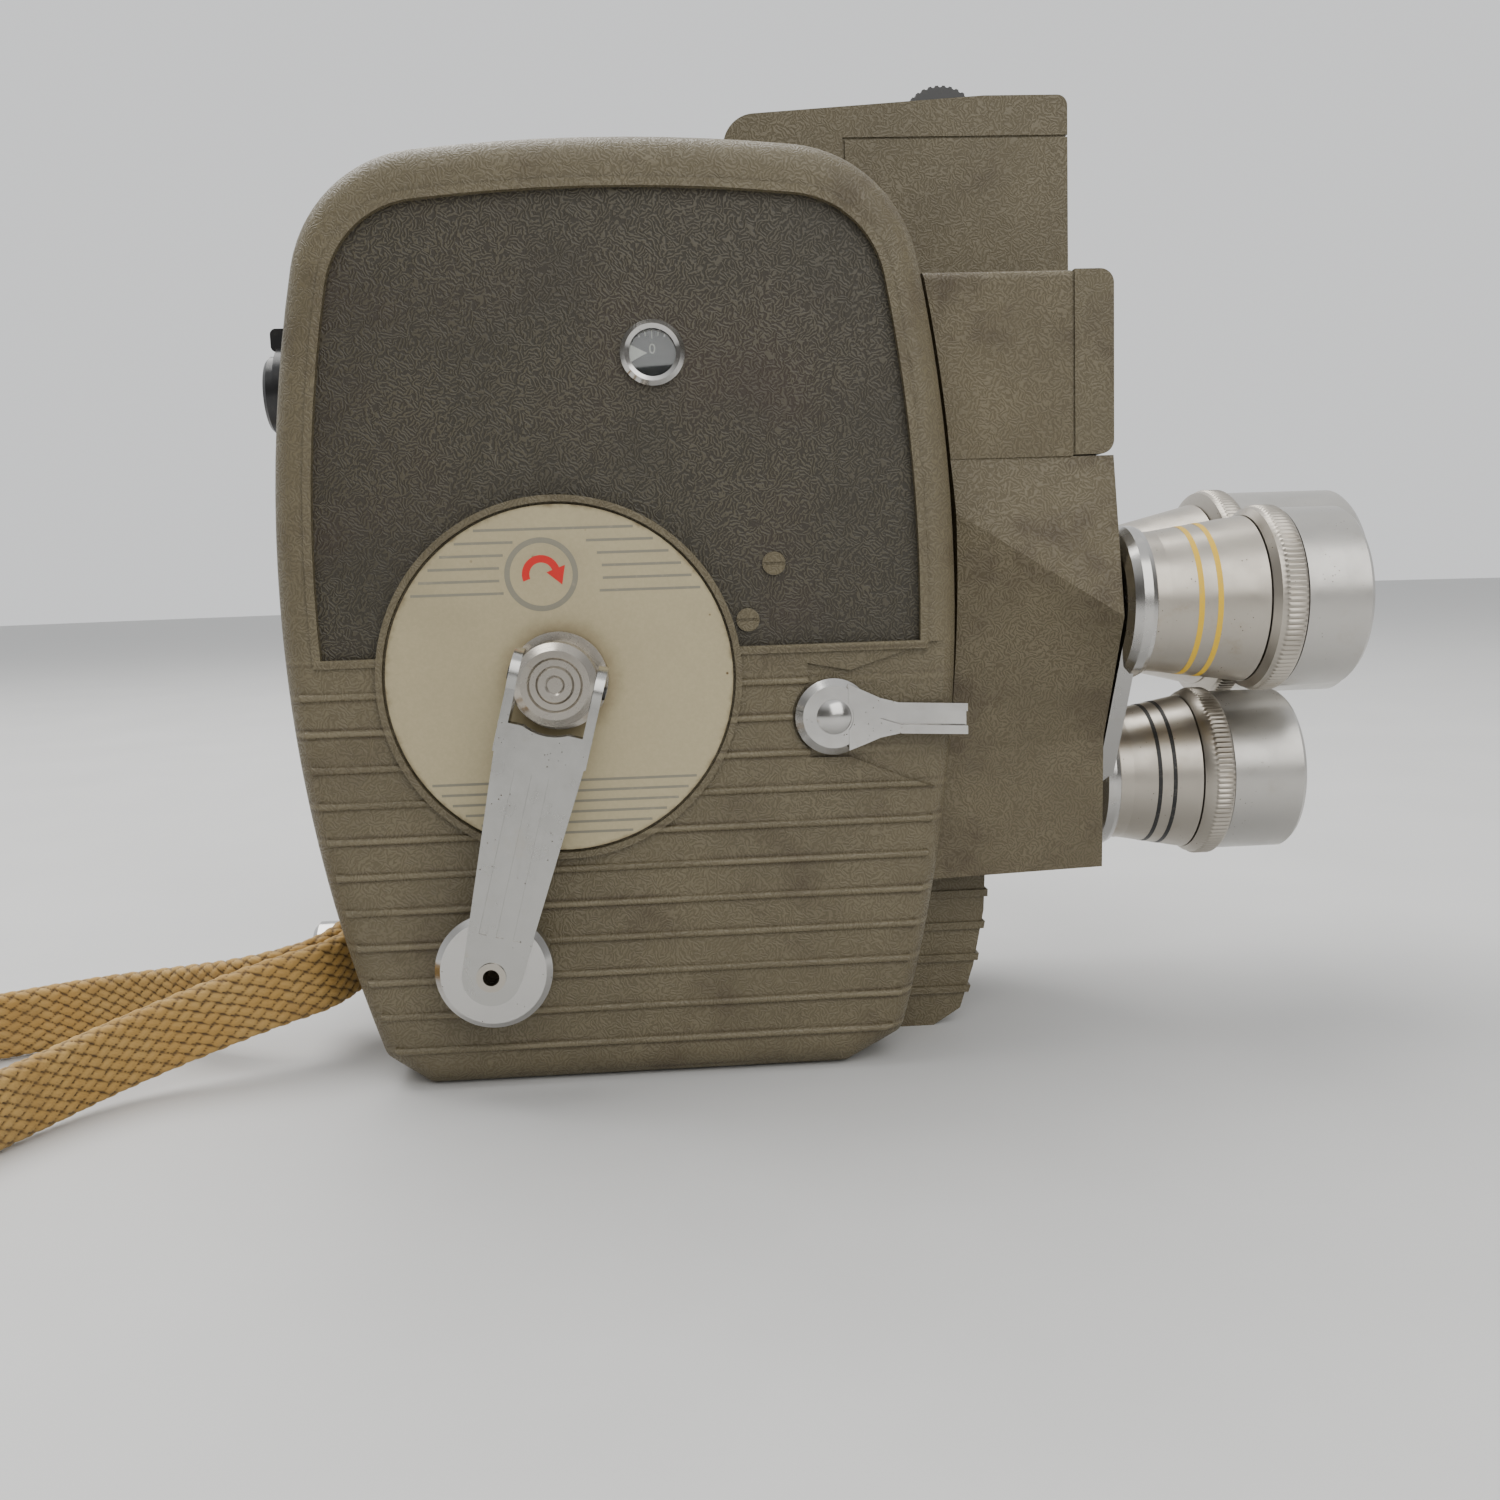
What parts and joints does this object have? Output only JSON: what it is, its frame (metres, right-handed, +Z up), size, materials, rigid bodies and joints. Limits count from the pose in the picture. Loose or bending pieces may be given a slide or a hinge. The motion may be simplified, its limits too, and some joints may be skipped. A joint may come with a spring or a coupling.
{
  "type": "cine camera",
  "caption": "Spring-wound hand-held cine camera: rounded metal body, folding winding crank, rotating lens turret, finder, exposure meter housing and braided wrist strap.",
  "frame": {"origin": "mouth of the tripod socket, on the base plane, in the middle of the body's depth", "axes": "+X the way the lenses look, +Y the film door side, +Z up"},
  "size_m": [0.2707, 0.1178, 0.1455],
  "materials": {
    "body_enamel": "wrinkle enamel, olive taupe",
    "cream_plate": "satin, printed lines",
    "chrome": "bright plating, worn",
    "polished_aluminium": "polished",
    "satin_aluminium": "turned, satin anodised",
    "steel": "plain steel",
    "brass": "plain",
    "black_metal": "matt black",
    "black_plastic": "smooth black",
    "optical_glass": "coated",
    "selenium": "dark cell",
    "strap_braid": "flat braid"
  },
  "bodies": {
    "camera": {"motor_cover": "body_enamel", "cover_screws": "body_enamel", "winding_plate": "cream_plate", "counter_bezel": "chrome", "counter_glass": "optical_glass", "counter_bracket": "steel", "lever_screw": "chrome", "main_casting": "body_enamel", "tripod_bush": "steel", "strap": "strap_braid", "strap_screw": "steel", "strap_washer": "steel", "front_casting": "body_enamel", "finder_bezel": "body_enamel", "finder_objective": "optical_glass", "finder_tube": "black_metal", "eyepiece": "black_plastic", "eyepiece_lens": "optical_glass", "meter_housing": "body_enamel", "meter_cell": "selenium", "meter_window": "optical_glass", "meter_movement": "black_metal", "meter_cap": "body_enamel", "turret_screw": "chrome", "film_gate": "steel", "shutter_bracket": "steel", "motor_plate": "steel"},
    "winding_key": {"key_hub": "chrome", "crank_pins": "steel", "winding_arbor": "steel"},
    "crank": {"crank_arm": "polished_aluminium", "knob_rivet": "chrome"},
    "crank_knob": {"crank_knob": "chrome"},
    "release_lever": {"release_lever": "chrome"},
    "counter_dial": {"counter_dial": "black_metal"},
    "focus_tab": {"focus_tab": "black_plastic"},
    "setting_wheel": {"setting_wheel": "black_plastic"},
    "turret": {"turret_plate": "polished_aluminium", "tele_lens_barrel": "satin_aluminium", "tele_lens_front": "satin_aluminium", "tele_lens_glass": "optical_glass", "normal_lens_barrel": "satin_aluminium", "normal_lens_front": "satin_aluminium", "normal_lens_glass": "optical_glass", "wide_lens_barrel": "satin_aluminium", "wide_lens_front": "satin_aluminium", "wide_lens_glass": "optical_glass"},
    "film_door": {"film_door": "body_enamel"},
    "door_lock": {"door_lock": "steel"},
    "feed_spindle": {"feed_spindle": "steel"},
    "takeup_spindle": {"takeup_spindle": "steel", "takeup_spool": "black_metal"},
    "pressure_plate": {"pressure_plate": "steel"},
    "shutter": {"shutter_disc": "black_metal"},
    "spring_barrel": {"spring_barrel": "brass"},
    "transfer_wheel": {"transfer_wheel": "brass"},
    "governor": {"governor": "brass"},
    "tele_lens_ring": {"tele_lens_ring": "satin_aluminium"},
    "normal_lens_ring": {"normal_lens_ring": "satin_aluminium"},
    "wide_lens_ring": {"wide_lens_ring": "satin_aluminium"}
  },
  "joints": [
    {"name": "key_turn", "type": "hinge", "parent": "camera", "child": "winding_key", "pos_m": [-0.0094, -0.03, 0.0572], "axis": [0, -1, 0], "continuous": true},
    {"name": "crank_fold", "type": "hinge", "parent": "winding_key", "child": "crank", "pos_m": [-0.0094, -0.0353, 0.0572], "axis": [-0.9659, 0, 0.2588], "range_deg": [0, 180]},
    {"name": "crank_knob_turn", "type": "hinge", "parent": "crank", "child": "crank_knob", "pos_m": [-0.01973, -0.0333, 0.01866], "axis": [0, -1, 0], "continuous": true},
    {"name": "release_lever_turn", "type": "hinge", "parent": "camera", "child": "release_lever", "pos_m": [0.0279, -0.029, 0.0507], "axis": [0, -1, 0], "range_deg": [-18, 18], "stiffness_Nm_per_rad": 0.02},
    {"name": "counter_turn", "type": "hinge", "parent": "camera", "child": "counter_dial", "pos_m": [0.0049, -0.025, 0.0949], "axis": [0, -1, 0], "continuous": true},
    {"name": "eyepiece_focus", "type": "hinge", "parent": "camera", "child": "focus_tab", "pos_m": [-0.047, -0.013, 0.0979], "axis": [1, 0, 0], "range_deg": [-25, 25]},
    {"name": "film_speed_wheel", "type": "hinge", "parent": "camera", "child": "setting_wheel", "pos_m": [0.0516, 0.009, 0.1391], "axis": [0, 1, 0], "range_deg": [-130, 130]},
    {"name": "turret_turn", "type": "hinge", "parent": "camera", "child": "turret", "pos_m": [0.073, 0, 0.0554], "axis": [1, 0, 0], "continuous": true},
    {"name": "door_lift_off", "type": "slide", "parent": "camera", "child": "film_door", "axis": [0, 1, 0], "range_m": [0, 0.035]},
    {"name": "door_lock_turn", "type": "hinge", "parent": "film_door", "child": "door_lock", "pos_m": [0.008, 0.028, 0.062], "axis": [0, 1, 0], "range_deg": [0, 90]},
    {"name": "feed_turn", "type": "hinge", "parent": "camera", "child": "feed_spindle", "pos_m": [-0.0142, 0.005, 0.093], "axis": [0, 1, 0], "continuous": true},
    {"name": "takeup_turn", "type": "hinge", "parent": "camera", "child": "takeup_spindle", "pos_m": [-0.0142, 0.005, 0.0365], "axis": [0, 1, 0], "continuous": true},
    {"name": "pressure_plate_draw", "type": "slide", "parent": "camera", "child": "pressure_plate", "axis": [-1, 0, 0], "range_m": [0, 0.0015], "stiffness_N_per_m": 200},
    {"name": "shutter_turn", "type": "hinge", "parent": "camera", "child": "shutter", "pos_m": [0.062, 0.0012, 0.058], "axis": [1, 0, 0], "continuous": true},
    {"name": "barrel_turn", "type": "hinge", "parent": "camera", "child": "spring_barrel", "pos_m": [-0.0094, -0.015, 0.0572], "axis": [0, -1, 0], "continuous": true},
    {"name": "transfer_turn", "type": "hinge", "parent": "camera", "child": "transfer_wheel", "pos_m": [0.01419, -0.005, 0.04068], "axis": [0, -1, 0], "continuous": true},
    {"name": "governor_turn", "type": "hinge", "parent": "camera", "child": "governor", "pos_m": [0.02779, -0.005, 0.04702], "axis": [0, -1, 0], "continuous": true},
    {"name": "tele_lens_ring_turn", "type": "hinge", "parent": "turret", "child": "tele_lens_ring", "pos_m": [0.092, -0.01611, 0.0647], "axis": [1, 0, 0], "range_deg": [0, 120]},
    {"name": "normal_lens_ring_turn", "type": "hinge", "parent": "turret", "child": "normal_lens_ring", "pos_m": [0.09, 0, 0.0368], "axis": [1, 0, 0], "range_deg": [0, 120]},
    {"name": "wide_lens_ring_turn", "type": "hinge", "parent": "turret", "child": "wide_lens_ring", "pos_m": [0.095, 0.01611, 0.0647], "axis": [1, 0, 0], "range_deg": [0, 160]}
  ],
  "couplings": [
    {"joint": "transfer_turn", "follows": "barrel_turn", "ratio": -5},
    {"joint": "governor_turn", "follows": "barrel_turn", "ratio": 20},
    {"joint": "shutter_turn", "follows": "barrel_turn", "ratio": 20},
    {"joint": "takeup_turn", "follows": "barrel_turn", "ratio": -1},
    {"joint": "feed_turn", "follows": "barrel_turn", "ratio": -1},
    {"joint": "counter_turn", "follows": "barrel_turn", "ratio": 0.1}
  ]
}
